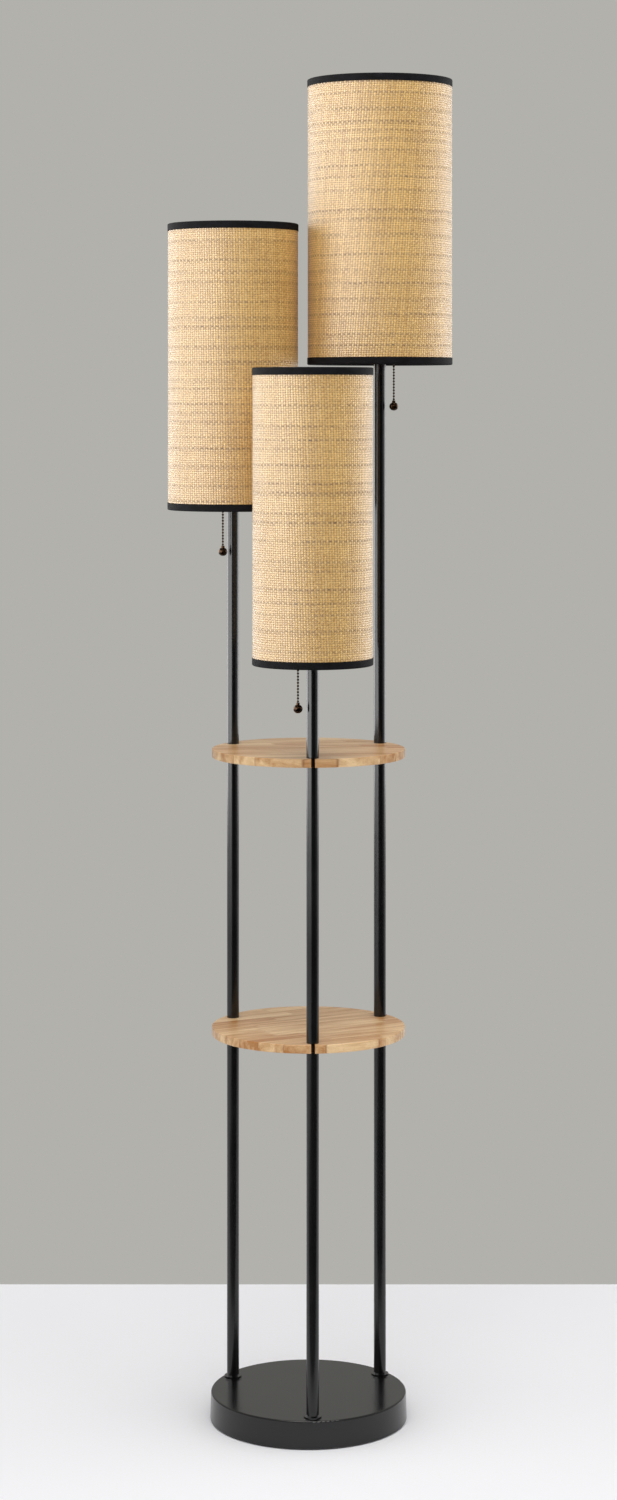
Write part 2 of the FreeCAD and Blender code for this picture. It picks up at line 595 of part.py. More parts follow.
def fitter_arm(ring_r, ring_z):
    """Bent wire in the XZ plane: up from the bottom ring, round a knee and up to the flat ring."""
    foot = Vector(ring_r, 0, ring_z)
    head = Vector(FITTER_R, 0, FITTER_BOTTOM + FITTER_T / 2)
    knee = Vector(ring_r, 0, ARM_FOOT_H)
    slope = (head - knee).normalize()
    turn = slope.getAngle(Vector(0, 0, 1))
    bend_start = knee - Vector(0, 0, ARM_KNEE_R * math.tan(turn / 2))
    bend_end = knee + slope * (ARM_KNEE_R * math.tan(turn / 2))
    centre = bend_start - Vector(ARM_KNEE_R, 0, 0)
    bend_mid = centre + Vector(ARM_KNEE_R * math.cos(turn / 2), 0, ARM_KNEE_R * math.sin(turn / 2))
    path = Part.Wire([
        Part.LineSegment(foot, bend_start).toShape(),
        Part.Arc(bend_start, bend_mid, bend_end).toShape(),
        Part.LineSegment(bend_end, head).toShape(),
    ])
    section = Part.Wire(Part.makeCircle(ARM_R, foot, Vector(0, 0, 1)))
    return path.makePipeShell([section], True, False)


def shade_fitter(ring_r, ring_z):
    """Bottom wire ring, three bent arms and the flat ring that sits on the lampholder."""
    body = pipe(FITTER_R, SHELL_R + FITTER_GAP, FITTER_BOTTOM, FITTER_BOTTOM + FITTER_T)
    arm = fitter_arm(ring_r, ring_z)
    for k in range(3):
        body = body.fuse(placed(arm, Vector(), 60.0 + 120.0 * k))
    return body.fuse(wire_ring(ring_r, ring_z))


def make_head(name):
    base = pole_at(name, SHADE_BOTTOM[name])
    turn = CHAIN_ANGLE[name]

    def put(node, shape, degrees=turn):
        add(node, placed(shape, base, degrees))

    radius, wall = SHADE_R[name], SHADE_WALL
    ring_r = radius - wall - WIRE_GAP - WIRE_R
    ring_z = TRIM_T + WIRE_GAP + WIRE_R
    put(f"{name}_shade_cover", pipe(radius, radius - wall, TRIM_T, SHADE_H - TRIM_T))
    low = trim(radius)
    high = low.mirror(Vector(0, 0, SHADE_H / 2), Vector(0, 0, 1))
    put(f"{name}_shade_trims", low)
    put(f"{name}_shade_trims", high)
    put(f"{name}_shade_top_ring", wire_ring(ring_r, SHADE_H - ring_z))
    put(f"{name}_shade_fitter", shade_fitter(ring_r, ring_z))
    put("shade_ring_nuts", ring_nut())
    put("socket_nipples", pipe(NIPPLE_R, NIPPLE_BORE_R, POLE_END - NIPPLE_IN_TUBE, HUB_TOP))
    put("socket_caps", socket_cap())
    put(f"{name}_socket_shell", socket_shell())
    put("socket_insulators", insulator())
    put("socket_screw_shells", screw_shell())
    put("socket_contacts", cylinder(CONTACT_R, CONTACT_BOTTOM, CONTACT_BOTTOM + CONTACT_H))
    put("switch_pins", switch_pin())
    put(f"{name}_switch_lever", switch_lever())
    put(f"{name}_pull_chain", pull_chain())
    put(f"{name}_pull_ball", pull_ball())
    put("bulb_caps", bulb_cap())
    put(f"{name}_bulb_globe", bulb_globe())
    add("pole_leads", lead(name, base.z + HUB_TOP + LEAD_TAIL))


make_base()
add("lower_shelf", shelf(LOWER_SHELF_TOP))
add("upper_shelf", shelf(UPPER_SHELF_TOP))
for pole_name in POLE_NAMES:
    make_pole(pole_name)
    make_head(pole_name)

os.makedirs("parts", exist_ok=True)
for node_name, solids in sorted(nodes.items()):
    shape = solids[0] if len(solids) == 1 else Part.makeCompound(solids)
    bad = [s for s in solids if not s.isValid() or s.Volume <= 0]
    print(f"{node_name}: {sum(len(s.Solids) for s in solids)} solids, {shape.Volume:.1f} mm3",
          "INVALID" if bad else "")
    shape.exportStep(f"parts/{node_name}.step")
print(len(nodes), "nodes")
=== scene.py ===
import math

import bpy
import numpy as np
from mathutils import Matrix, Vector


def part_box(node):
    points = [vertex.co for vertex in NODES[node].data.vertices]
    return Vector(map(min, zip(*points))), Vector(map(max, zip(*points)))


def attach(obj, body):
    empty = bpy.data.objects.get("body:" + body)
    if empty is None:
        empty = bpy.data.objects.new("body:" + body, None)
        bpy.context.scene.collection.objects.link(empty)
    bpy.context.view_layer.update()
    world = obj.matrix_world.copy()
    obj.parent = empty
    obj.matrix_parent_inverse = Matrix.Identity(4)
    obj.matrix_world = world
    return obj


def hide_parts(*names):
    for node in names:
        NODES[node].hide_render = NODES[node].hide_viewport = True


# Looks of a shelf floor lamp with three woven drum shades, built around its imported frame.
# Metres, +Z up, the front is -Y. Sizes in millimetres are written as a number times MM.

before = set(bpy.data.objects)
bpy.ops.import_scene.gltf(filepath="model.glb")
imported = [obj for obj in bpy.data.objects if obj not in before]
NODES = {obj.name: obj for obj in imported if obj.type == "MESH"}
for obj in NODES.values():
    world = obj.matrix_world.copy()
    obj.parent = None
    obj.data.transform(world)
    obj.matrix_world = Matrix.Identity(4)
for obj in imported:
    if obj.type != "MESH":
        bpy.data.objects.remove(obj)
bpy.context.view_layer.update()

MM = 0.001
SIDES = ("front", "right", "left")
SEED = 41                       # the first shade's, and one more for each next shade
FELT_SEED = SEED + 10

# ---- view ---------------------------------------------------------------------------------------
PHOTO_H = 1500                  # pixels along the picture's taller side
HORIZON_Y = 400                 # pixel row of the horizon
FOCAL_PX = 3085
SENSOR_MM = 36.0                # along the same side
CAMERA_AT = Vector((0.0, -3.998, 1.318))

# ---- stage and light ----------------------------------------------------------------------------
STAGE_REACH = 30.0              # floor and wall go this far to every side
WALL_Y = 0.60                   # the wall stands this far behind the lamp
WORLD_LIGHT = 0.55
# A lamp's or card's place, the point it faces, its width and height, and its radiance.
SOFTBOXES = {
    "key": ((-0.2, -2.8, 3.0), (0, 0, 1.0), (2.0, 1.8), 2.0),
    "overhead": ((0.1, -0.5, 3.6), (0, 0, 0.6), (2.4, 1.8), 4.1),
}
GLOSS_CARDS = {
    "card_left": ((-2.15, 0.95, 1.55), (0, 0, 1.4), (3.0, 2.2), 3.9),
    "card_front_left": ((-1.9, -1.48, 1.55), (0, 0, 1.4), (2.5, 2.2), 4.6),
    "card_right": ((1.96, 1.0, 1.5), (0, 0, 1.4), (2.5, 2.0), 3.1),
}
LEVEL_TOPS = ("base_cover", "lower_shelf", "upper_shelf")
FLAG_X = (-1.3, 5.5)
FLAG_Y = (-5.0, -0.36)
FLAG_TOP = 3.5
FLAG_LIFT = 1 * MM              # over the floor

# ---- woven covers -------------------------------------------------------------------------------
RIB_PITCH = 3.5 * MM            # upright paper cords
ROW_PITCH = 2.85 * MM           # level paper cords
RELIEF = 0.6 * MM               # from the tops of the cords down to the holes between them
WARP_SHARE, WEFT_SHARE = 0.62, 0.50    # thickness of an upright and a level cord, in reliefs
LIFT_SHARE = 0.38               # how far a cord rises where it passes over another, in reliefs
CROSSING_BLEND = 0.06           # two cords run into each other over twice this, in reliefs
CORD_FLATNESS = 0.6             # power of the wave across a cord, flatter on top as it goes to 0
RIM_SHARE = 0.5                 # under the tape the cords lie at least this deep, in reliefs
WEAVE_T = 0.74 * MM             # woven layer, to the back of its cords
LINER_GAP = 0.01 * MM
WALL_T = 1.0 * MM
SEAM_ANGLE = 90.0               # degrees, at the back of each shade
SEAM_W = 14 * MM
SEAM_LIFT = 0.35 * MM
RIB_LEAN = {"front": -1.9, "right": 4.6, "left": -1.1}    # degrees off upright, as the cover was cut
RIB_SWAY = (0.14, 0.10)         # slow and quick drift of the upright cords, in half pitches
ROW_SAG = (0.20, 0.14)          # slow and quick drift of the level cords, in pitches
UNEVEN = 0.05 * MM              # the cords' height varies by this
SLUB_SWELL = 0.10 * MM          # a slub stands out by this
SLUB_START = (3, 7)             # rows from the top rim to the first slubbed row
SLUB_GAP = (4, 10)              # rows from one slubbed row to the next

# Tone of a cord, from 0 for the paler paper to 1 for the darker one.
PAPER_TONE = 0.34
WEFT_TONE = 0.22                # added where a level cord lies on top
RIB_TONE, ROW_TONE, SPOT_TONE = 0.13, 0.10, 0.24    # spread among ribs, among rows and along a cord

# ---- tape on the rims ---------------------------------------------------------------------------
TAPE_T = 0.45 * MM
TAPE_GAP = 0.05 * MM
TAPE_H = 9.6 * MM
TAPE_INNER_H = 4.4 * MM
TAPE_FOLD_H = 1.0 * MM          # height of the rounded fold over the rim
TAPE_FOLD_STEP = 20             # degrees from one point of the fold to the next
TAPE_EDGE, TAPE_INNER_EDGE = 0.15 * MM, 0.1 * MM    # height of the worn corner of each cut edge
TAPE_EDGE_T = 0.8 * TAPE_T      # what the worn corner leaves of the tape's thickness
TAPE_LINES = 8                  # points up the outside
TAPE_RIB = 1.25 * MM            # from one rib to the next, round the rim
TAPE_RIB_DEPTH = 0.05 * MM
TAPE_WAVE = 0.04 * MM
RING_WIDTH = 3.1 * MM           # room inside the wall for the frame wire
LINER_SIDES, LINER_LINES = 192, 12

# ---- threaded nipples ---------------------------------------------------------------------------
THREAD_PITCH = 1.0 * MM
THREAD_DEPTH = 0.5 * MM
THREAD_FLAT = 0.15              # the flanks are this much steeper than those of a sharp thread
THREAD_LEAD_IN = 1.2 * THREAD_PITCH    # the thread runs out over this length at each end
THREAD_SIDES, THREAD_STEPS = 48, 6    # points round the rod, and along one turn
NIPPLE_BORE = 3.2 * MM

# ---- felt ---------------------------------------------------------------------------------------
FELT_EDGE = 0.5 * MM            # rounding of the cut edge
FELT_NAP = 0.12 * MM            # unevenness of the two faces
FELT_FRAY = 0.25 * MM           # unevenness of the cut edge
FELT_RINGS, FELT_SIDES = 26, 256

# ---- wood ---------------------------------------------------------------------------------------
STAVE_W = 27 * MM
BLOCK_L = 168 * MM              # from one finger joint to the next along a stave
FINGER_W = 2.6 * MM
FINGER_SLOPE = 2.4              # how far a finger reaches, per width
BLOCK_START = 0.4               # a stave's first joint is moved along by up to this, in metres
GRAIN_JUMP = 0.7                # a block takes its grain from up to this far away on each axis
# How far the staves of each shelf are turned, in degrees, and shifted, in metres.
WOOD_LAY = {"lower_shelf": (-28.0, 0.011), "upper_shelf": (-7.0, 0.204)}


# ---- meshes -------------------------------------------------------------------------------------
def new_object(name, points, faces, material):
    mesh = bpy.data.meshes.new(name)
    mesh.from_pydata(points, [], faces)
    mesh.materials.append(material)
    made = bpy.data.objects.new(name, mesh)
    bpy.context.scene.collection.objects.link(made)
    return made


def smooth_piece(name, points, faces, material):
    """A smooth mesh that rides on the stand, with the material it is given."""
    piece = new_object(name, points.tolist(), faces, material)
    piece.data.polygons.foreach_set("use_smooth", [True] * len(faces))
    piece.data.update()
    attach(piece, "stand")
    return piece


def join_rings(order, columns):
    """Quads from each ring of points to the next one in the order. Ring k starts at point k * columns."""
    first, second = np.array(order[:-1])[:, None] * columns, np.array(order[1:])[:, None] * columns
    c = np.arange(columns)[None, :]
    after = (c + 1) % columns
    corners = [first + c, first + after, second + after, second + c]
    return np.stack([k.ravel() for k in corners], axis=1)


def tube_order(lines):
    """Order of rings that closes a tube: its outside has this many, and the next two are its bore."""
    return [*range(lines), lines + 1, lines, 0]


def full_turn(columns):
    """A row of evenly spaced angles, once round."""
    return 2 * math.pi * np.arange(columns)[None, :] / columns


def round_points(x, y, angle, out, up):
    """Points round the upright axis at x and y, from grids of angle, radius and height."""
    grids = np.broadcast_arrays(x + out * np.cos(angle), y + out * np.sin(angle), up)
    return np.stack([g.ravel() for g in grids], axis=1)


def add_float(piece, name, values):
    """A number on every point, for a material to read."""
    layer = piece.data.attributes.new(name, "FLOAT", "POINT")
    layer.data.foreach_set("value", np.ascontiguousarray(values, np.float32).ravel())


def add_flat_map(piece, name, flat):
    """UV map from (across, up) at every corner of every face."""
    layer = piece.data.uv_layers.new(name=name)
    layer.data.foreach_set("uv", np.ascontiguousarray(flat, np.float32).ravel())


def value_noise(rng, shape, cells):
    """Smooth random field between -1 and 1 on rows and columns. It joins up across the columns."""
    rows, columns = shape
    lattice = rng.uniform(-1, 1, (cells[0] + 2, cells[1]))
    v = np.linspace(0, cells[0], rows)[:, None]
    u = (np.arange(columns) * cells[1] / columns)[None, :]
    i, j = np.floor(v).astype(int), np.floor(u).astype(int)
    s, t = v - i, u - j
    s, t = s * s * (3 - 2 * s), t * t * (3 - 2 * t)
    after = (j + 1) % cells[1]
    low = lattice[i, j] * (1 - t) + lattice[i, after] * t
    high = lattice[i + 1, j] * (1 - t) + lattice[i + 1, after] * t
    return low * (1 - s) + high * s


# ---- nodes --------------------------------------------------------------------------------------
def new_material(name, **surface):
    """A node material. Surface names a Principled socket, with _ for a space, and its value."""
    material = bpy.data.materials.new(name)
    material.use_nodes = True
    shader = material.node_tree.nodes["Principled BSDF"]
    for key, value in surface.items():
        shader.inputs[key.replace("_", " ")].default_value = value
    return material


def node(tree, kind, inputs, **settings):
    """A new node. Inputs maps a socket to a value or to another node's output."""
    made = tree.nodes.new(kind)
    for key, value in settings.items():
        setattr(made, key, value)
    for key, value in inputs.items():
        if isinstance(value, bpy.types.NodeSocket):
            tree.links.new(value, made.inputs[key])
        else:
            made.inputs[key].default_value = value
    return made


def calc(tree, operation, *values):
    made = node(tree, "ShaderNodeMath", dict(enumerate(values)), operation=operation)
    return made.outputs[0]


def spread(tree, value, low, high, to_low=0.0, to_high=1.0):
    """Value from low to high becomes to_low to to_high, and stays within them."""
    inputs = {"Value": value, "From Min": low, "From Max": high, "To Min": to_low, "To Max": to_high}
    return node(tree, "ShaderNodeMapRange", inputs).outputs["Result"]


def tint(tree, share, first, second):
    """Colour that goes from first to second as share goes from 0 to 1."""
    return node(tree, "ShaderNodeMix", {0: share, 6: first, 7: second}, data_type="RGBA").outputs[2]


def stretched(tree, vector, scale, turn=0.0):
    inputs = {"Vector": vector, "Scale": scale, "Rotation": (0.0, 0.0, math.radians(turn))}
    return node(tree, "ShaderNodeMapping", inputs).outputs["Vector"]


def noise(tree, vector, scale, detail=3.0, roughness=0.5, distortion=0.0):
    inputs = {
        "Vector": vector, "Scale": scale, "Detail": detail, "Roughness": roughness, "Distortion": distortion,
    }
    return node(tree, "ShaderNodeTexNoise", inputs).outputs["Fac"]


def place(tree):
    """Coordinates fixed to the object, in metres."""
    return node(tree, "ShaderNodeTexCoord", {}).outputs["Object"]


def flat_map(tree, name):
    return node(tree, "ShaderNodeUVMap", {}, uv_map=name).outputs["UV"]


def number_on(tree, name):
    return node(tree, "ShaderNodeAttribute", {}, attribute_name=name).outputs["Fac"]


def set_surface(tree, **links):
    """Joins outputs to the Principled shader's sockets."""
    shader = tree.nodes["Principled BSDF"]
    for key, value in links.items():
        tree.links.new(value, shader.inputs[key.replace("_", " ")])


def bump(tree, height, distance):
    inputs = {"Height": height, "Distance": distance, "Strength": 1.0}
    return node(tree, "ShaderNodeBump", inputs).outputs["Normal"]


def rgb(red, green, blue):
    """Linear colour from the 0-255 numbers of a picture."""
    def linear(c):
        c /= 255
        return c / 12.92 if c <= 0.04045 else ((c + 0.055) / 1.055) ** 2.4
    return (linear(red), linear(green), linear(blue), 1.0)


WHITE = (1.0, 1.0, 1.0, 1.0)
WALL_COLOUR = rgb(178, 177, 172)


# ---- materials ----------------------------------------------------------------------------------
def crossing_relief(tree, flat):
    """Height of the weave, how far an upright cord is the one on top, and how full that cord is.

    The map counts upright cords across and level cords up.
    """
    axes = node(tree, "ShaderNodeSeparateXYZ", {"Vector": flat}).outputs
    side_wave = calc(tree, "COSINE", calc(tree, "MULTIPLY", axes["X"], math.pi))
    up_wave = calc(tree, "COSINE", calc(tree, "MULTIPLY", axes["Y"], math.pi))
    over = calc(tree, "MULTIPLY", calc(tree, "MULTIPLY", side_wave, up_wave), LIFT_SHARE)
    rib = calc(tree, "POWER", calc(tree, "ABSOLUTE", side_wave), CORD_FLATNESS)
    row = calc(tree, "POWER", calc(tree, "ABSOLUTE", up_wave), CORD_FLATNESS)
    warp_height = calc(tree, "ADD", calc(tree, "MULTIPLY", rib, WARP_SHARE), over)
    weft_height = calc(tree, "SUBTRACT", calc(tree, "MULTIPLY", row, WEFT_SHARE), over)
    ahead = calc(tree, "SUBTRACT", warp_height, weft_height)
    on_warp = spread(tree, ahead, -CROSSING_BLEND, CROSSING_BLEND)
    return calc(tree, "MAXIMUM", warp_height, weft_height), on_warp, rib


def weave_material():
    """Glossy paper cord, plain woven: relief of every crossing, tan cords, brown slubs, painted gap shade.
    """
    material = new_material(
        "woven_paper", IOR=1.55, Specular_IOR_Level=1.0, Sheen_Weight=0.3, Sheen_Roughness=0.3,
    )
    tree = material.node_tree
    flat = flat_map(tree, "crossings")
    height, on_warp, rib = crossing_relief(tree, flat)

    up_streaks = noise(tree, stretched(tree, flat, (9.0, 0.4, 1)), 1.0, 4.0)
    level_streaks = noise(tree, stretched(tree, flat, (0.4, 8.0, 1)), 1.0, 4.0)
    streaks = node(tree, "ShaderNodeMix", {0: on_warp, 2: level_streaks, 3: up_streaks}).outputs[0]
    clouds = noise(tree, stretched(tree, flat, (0.05, 0.026, 1)), 1.0, 3.0)
    tone = calc(tree, "ADD", number_on(tree, "tone"), spread(tree, streaks, 0.25, 0.75, -0.25, 0.25))
    tone = calc(tree, "ADD", tone, spread(tree, clouds, 0.3, 0.7, -0.12, 0.12))
    paper = tint(tree, tone, rgb(246, 202, 120), rgb(195, 147, 70))

    weft_on_top = spread(tree, on_warp, 0.0, 1.0, 1.0, 0.25)
    beside_ribs = spread(tree, rib, 0.4, 1.0, 1.0, 0.8)
    seen = calc(tree, "MULTIPLY", weft_on_top, beside_ribs)
    slub = calc(tree, "MULTIPLY", number_on(tree, "slub"), seen)
    knot = calc(tree, "MULTIPLY", number_on(tree, "knot"), seen)
    # Painted shade: darker towards rgb(116, 77, 27) where the weave lies deep, in gaps and holes.
    painted_gap_shade = spread(tree, height, 0.15, 0.75, 0.85, 0.0)
    cords = tint(tree, knot, tint(tree, slub, paper, rgb(84, 57, 14)), rgb(34, 22, 14))
    relief = calc(tree, "ADD", height, calc(tree, "MULTIPLY", streaks, 0.22))
    set_surface(
        tree,
        Base_Color=tint(tree, painted_gap_shade, cords, rgb(116, 77, 27)),
        Roughness=spread(tree, calc(tree, "MAXIMUM", slub, painted_gap_shade), 0.0, 0.7, 0.32, 0.75),
        Normal=bump(tree, relief, 0.5 * MM),
    )
    return material


def liner_material():
    """Laminated inner face of a shade: pale, nearly smooth, with a painted shadow of the weave behind it."""
    material = new_material("shade_liner", Roughness=0.45)
    tree = material.node_tree
    flat = flat_map(tree, "flat")
    ribs = noise(tree, stretched(tree, flat, (1 / RIB_PITCH, 20, 1)), 1.0, 1.0)
    rows = noise(tree, stretched(tree, flat, (12, 1 / ROW_PITCH, 1)), 1.0, 1.0)
    # Painted shadow of the weave, seen through the liner.
    shadow = spread(tree, calc(tree, "ADD", ribs, rows), 0.7, 1.3)
    set_surface(
        tree,
        Base_Color=tint(tree, shadow, rgb(240, 226, 202), rgb(226, 206, 174)),
        Normal=bump(tree, shadow, 0.04 * MM),
    )
    return material


def tape_material():
    """Black woven tape with a slightly bluish, worn top to its ribs."""
    material = new_material("rim_tape", Roughness=0.75, Specular_IOR_Level=0.08)
    tree = material.node_tree
    flat = flat_map(tree, "flat")
    threads = noise(tree, stretched(tree, flat, (500, 3200, 1)), 1.0, 3.0)
    cloudy = noise(tree, stretched(tree, flat, (60, 120, 1)), 1.0, 2.0)
    share = spread(tree, calc(tree, "ADD", threads, cloudy), 0.75, 1.35)
    set_surface(
        tree,
        Base_Color=tint(tree, share, rgb(12, 12, 13), rgb(28, 27, 31)),
        Normal=bump(tree, threads, 0.10 * MM),
    )
    return material


def black_coat_material():
    """Satin black powder coat: fine orange peel, faint clouds of gloss and dust."""
    material = new_material("black_coat")
    tree = material.node_tree
    where = place(tree)
    peel = noise(tree, where, 1400.0, 2.0)
    clouds = noise(tree, where, 22.0, 4.0)
    dust = spread(tree, noise(tree, where, 5200.0, 1.0), 0.66, 0.8)
    base = tint(tree, spread(tree, clouds, 0.3, 0.7), rgb(11, 11, 12), rgb(17, 17, 19))
    set_surface(
        tree,
        Base_Color=tint(tree, calc(tree, "MULTIPLY", dust, 0.12), base, rgb(120, 118, 112)),
        Roughness=spread(tree, clouds, 0.3, 0.7, 0.17, 0.23),
        Normal=bump(tree, peel, 0.02 * MM),
    )
    return material


def wood_blocks(tree, turned, shift):
    """Numbers of a board's stave and block at each place, as counts with fractions.

    Staves run along X. Their finger joints zigzag, and each stave starts its blocks elsewhere.
    """
    axes = node(tree, "ShaderNodeSeparateXYZ", {"Vector": turned}).outputs
    stave_at = calc(tree, "DIVIDE", calc(tree, "ADD", axes["Y"], shift), STAVE_W)
    stave = calc(tree, "FLOOR", stave_at)
    zigzag = calc(tree, "MULTIPLY", calc(tree, "PINGPONG", axes["Y"], FINGER_W), FINGER_SLOPE)
    own = node(tree, "ShaderNodeTexWhiteNoise", {"W": stave}, noise_dimensions="1D").outputs["Value"]
    own_start = calc(tree, "MULTIPLY", own, BLOCK_START)
    along = calc(tree, "ADD", calc(tree, "ADD", axes["X"], zigzag), own_start)
    return stave_at, calc(tree, "DIVIDE", along, BLOCK_L)


def wood_material(name, turn, shift):
    """Lacquered butcher block: staves with finger joints, each block with its own tone and grain."""
    material = new_material(name, Roughness=0.42, Coat_Weight=0.25, Coat_Roughness=0.22)
    tree = material.node_tree
    turned = stretched(tree, place(tree), (1, 1, 1), turn)
    stave_at, block_at = wood_blocks(tree, turned, shift)
    stave, block = calc(tree, "FLOOR", stave_at), calc(tree, "FLOOR", block_at)
    names = node(tree, "ShaderNodeCombineXYZ", {"X": stave, "Y": block, "Z": shift}).outputs[0]
    own = node(tree, "ShaderNodeTexWhiteNoise", {"Vector": names}, noise_dimensions="3D").outputs
    jump = node(tree, "ShaderNodeVectorMath", {0: own["Color"], 3: GRAIN_JUMP}, operation="SCALE").outputs[0]
    where = node(tree, "ShaderNodeVectorMath", {0: turned, 1: jump}).outputs[0]

    bands = noise(tree, stretched(tree, where, (7, 95, 60)), 1.0, 3.0, 0.55, 0.6)
    fibres = noise(tree, stretched(tree, where, (26, 900, 900)), 1.0, 4.0, 0.6)
    pores = spread(tree, noise(tree, stretched(tree, where, (170, 2600, 2600)), 1.0, 1.0), 0.66, 0.74)
    tone = calc(tree, "MULTIPLY", own["Value"], 0.7)
    tone = calc(tree, "ADD", tone, spread(tree, bands, 0.32, 0.68, -0.2, 0.62))
    tone = calc(tree, "ADD", tone, spread(tree, fibres, 0.3, 0.7, -0.16, 0.16))
    colour = tint(tree, tone, rgb(243, 208, 158), rgb(184, 125, 66))
    colour = tint(tree, calc(tree, "MULTIPLY", pores, 0.5), colour, rgb(138, 92, 56))

    stave_glue = spread(tree, calc(tree, "PINGPONG", stave_at, 0.5), 0.0, 0.018, 1.0, 0.0)
    block_glue = spread(tree, calc(tree, "PINGPONG", block_at, 0.5), 0.0, 0.003, 1.0, 0.0)
    glue = calc(tree, "MULTIPLY", calc(tree, "MAXIMUM", stave_glue, block_glue), 0.6)
    set_surface(
        tree,
        Base_Color=tint(tree, glue, colour, rgb(128, 80, 44)),
        Roughness=spread(tree, fibres, 0.3, 0.7, 0.38, 0.5),
        Normal=bump(tree, calc(tree, "SUBTRACT", fibres, pores), 0.03 * MM),
    )
    return material


def metal_material(name, dark, light, rough, grain=(420.0, 420.0, 420.0)):
    """Plated or brushed metal that goes between two tones, with fine uneven gloss."""
    material = new_material(name, Metallic=1.0)
    tree = material.node_tree
    where = place(tree)
    patches = noise(tree, where, 90.0, 4.0)
    lines = noise(tree, stretched(tree, where, grain), 1.0, 3.0)
    set_surface(
        tree,
        Base_Color=tint(tree, spread(tree, patches, 0.3, 0.7), dark, light),
        Roughness=spread(tree, lines, 0.3, 0.7, rough - 0.07, rough + 0.07),
        Normal=bump(tree, lines, 0.015 * MM),
    )
    return material


def plain_material(name, dark, light, rough, scale, relief, **surface):
    """Moulded, cast, enamelled or rubber surface with mottled tone and a fine relief."""
    material = new_material(name, **surface)
    tree = material.node_tree
    where = place(tree)
    patches = noise(tree, where, scale / 8, 3.0)
    grit = noise(tree, where, scale, 3.0)
    set_surface(
        tree,
        Base_Color=tint(tree, spread(tree, patches, 0.3, 0.7), dark, light),
        Roughness=spread(tree, grit, 0.3, 0.7, rough - 0.06, rough + 0.06),
        Normal=bump(tree, grit, relief),
    )
    return material


def felt_material():
    """Short black fibres in every direction."""
    material = new_material("foot_felt", Roughness=0.95, Sheen_Weight=0.3, Sheen_Roughness=0.6)
    tree = material.node_tree
    fibres = noise(tree, place(tree), 1700.0, 5.0, 0.7, 1.5)
    set_surface(
        tree,
        Base_Color=tint(tree, spread(tree, fibres, 0.3, 0.7), rgb(13, 13, 14), rgb(44, 44, 46)),
        Normal=bump(tree, fibres, 0.4 * MM),
    )
    return material


def coat_materials():
    """Materials of the CAD nodes that stay in view, by the record's slots."""
    return {
        "satin_black": black_coat_material(),
        "frame_wire": plain_material(
            "wire_enamel", rgb(214, 211, 203), rgb(228, 225, 218), 0.35, 900.0, 0.01 * MM,
        ),
        "dark_bronze": metal_material("bronze", rgb(40, 30, 24), rgb(66, 49, 36), 0.16),
        "socket_black": plain_material(
            "socket_enamel", rgb(34, 31, 29), rgb(44, 40, 37), 0.4, 1200.0, 0.015 * MM,
        ),
        "insulator_moulding": plain_material(
            "moulding", rgb(40, 38, 37), rgb(52, 50, 48), 0.5, 1500.0, 0.02 * MM,
        ),
        "contact_brass": metal_material("brass", rgb(196, 160, 92), rgb(224, 190, 120), 0.28),
        "bulb_metal": metal_material("bulb_cap_metal", rgb(190, 188, 182), rgb(218, 217, 212), 0.3),
        "bulb_glass": plain_material(
            "frosted_glass", rgb(244, 242, 236), rgb(250, 249, 245), 0.5, 2200.0, 0.01 * MM,
            Transmission_Weight=0.55, IOR=1.5,
        ),
        "iron_weight": plain_material(
            "cast_iron", rgb(72, 72, 74), rgb(98, 96, 94), 0.7, 700.0, 0.15 * MM, Metallic=0.6,
        ),
        "plated_steel": metal_material(
            "zinc_plate", rgb(168, 168, 164), rgb(198, 198, 196), 0.34, grain=(60.0, 900.0, 900.0),
        ),
        "grommet_rubber": plain_material(
            "rubber", rgb(28, 28, 29), rgb(36, 36, 37), 0.62, 1300.0, 0.02 * MM,
        ),
        "lead_sheath": plain_material(
            "lead_sheath", rgb(60, 48, 36), rgb(78, 62, 46), 0.45, 1100.0, 0.01 * MM,
        ),
    }


def finish_frame(coats):
    """Gives each CAD node the material of its slot, and each shelf its own wood."""
    for shown in NODES.values():
        slot = shown.material_slots[0].material.name
        if slot in coats:
            shown.material_slots[0].material = coats[slot]
    for name, (turn, shift) in WOOD_LAY.items():
        NODES[name].material_slots[0].material = wood_material(f"{name}_wood", turn, shift)


# ---- shades -------------------------------------------------------------------------------------
class Shade:
    """Place and size of one shade, read from its packed cover."""

    def __init__(self, side, index):
        low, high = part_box(f"{side}_shade_cover")
        self.side = side
        self.rng = np.random.default_rng(SEED + index)
        self.x = (low.x + high.x) / 2
        self.y = (low.y + high.y) / 2
        self.radius = (high.x - low.x) / 2
        self.bottom = low.z
        self.top = high.z
        self.height = self.top - self.bottom
        self.around = 2 * math.pi * self.radius

    def seam_lift(self, share):
        """How far the cover stands out where its end laps over its start; share goes once round."""
        in_lap = np.clip(1 - share * self.around / SEAM_W, 0, 1)
        return SEAM_LIFT * in_lap * in_lap * (3 - 2 * in_lap)

    def wrap(self, share, out, up):
        """Points on the cover: share of the way round from the seam, radius and height."""
        angle = math.radians(SEAM_ANGLE) + 2 * math.pi * share
        return round_points(self.x, self.y, angle, out, up)


class Weave:
    """Grid of points of a plain weave. Every cord and every gap between two cords has its own line."""

    def __init__(self, shade):
        self.ribs = 2 * round(shade.around / RIB_PITCH / 2)
        self.rows = round(shade.height / ROW_PITCH)
        self.columns = 2 * self.ribs
        self.lines = 2 * self.rows + 1
        self.size = (self.lines, self.columns)
        line, column = np.arange(self.lines)[:, None], np.arange(self.columns)[None, :]
        self.on_row = line % 2 == 1
        self.on_rib = column % 2 == 0
        self.weft_over = (line // 2 + column // 2) % 2 == 1
        self.share = column / self.columns


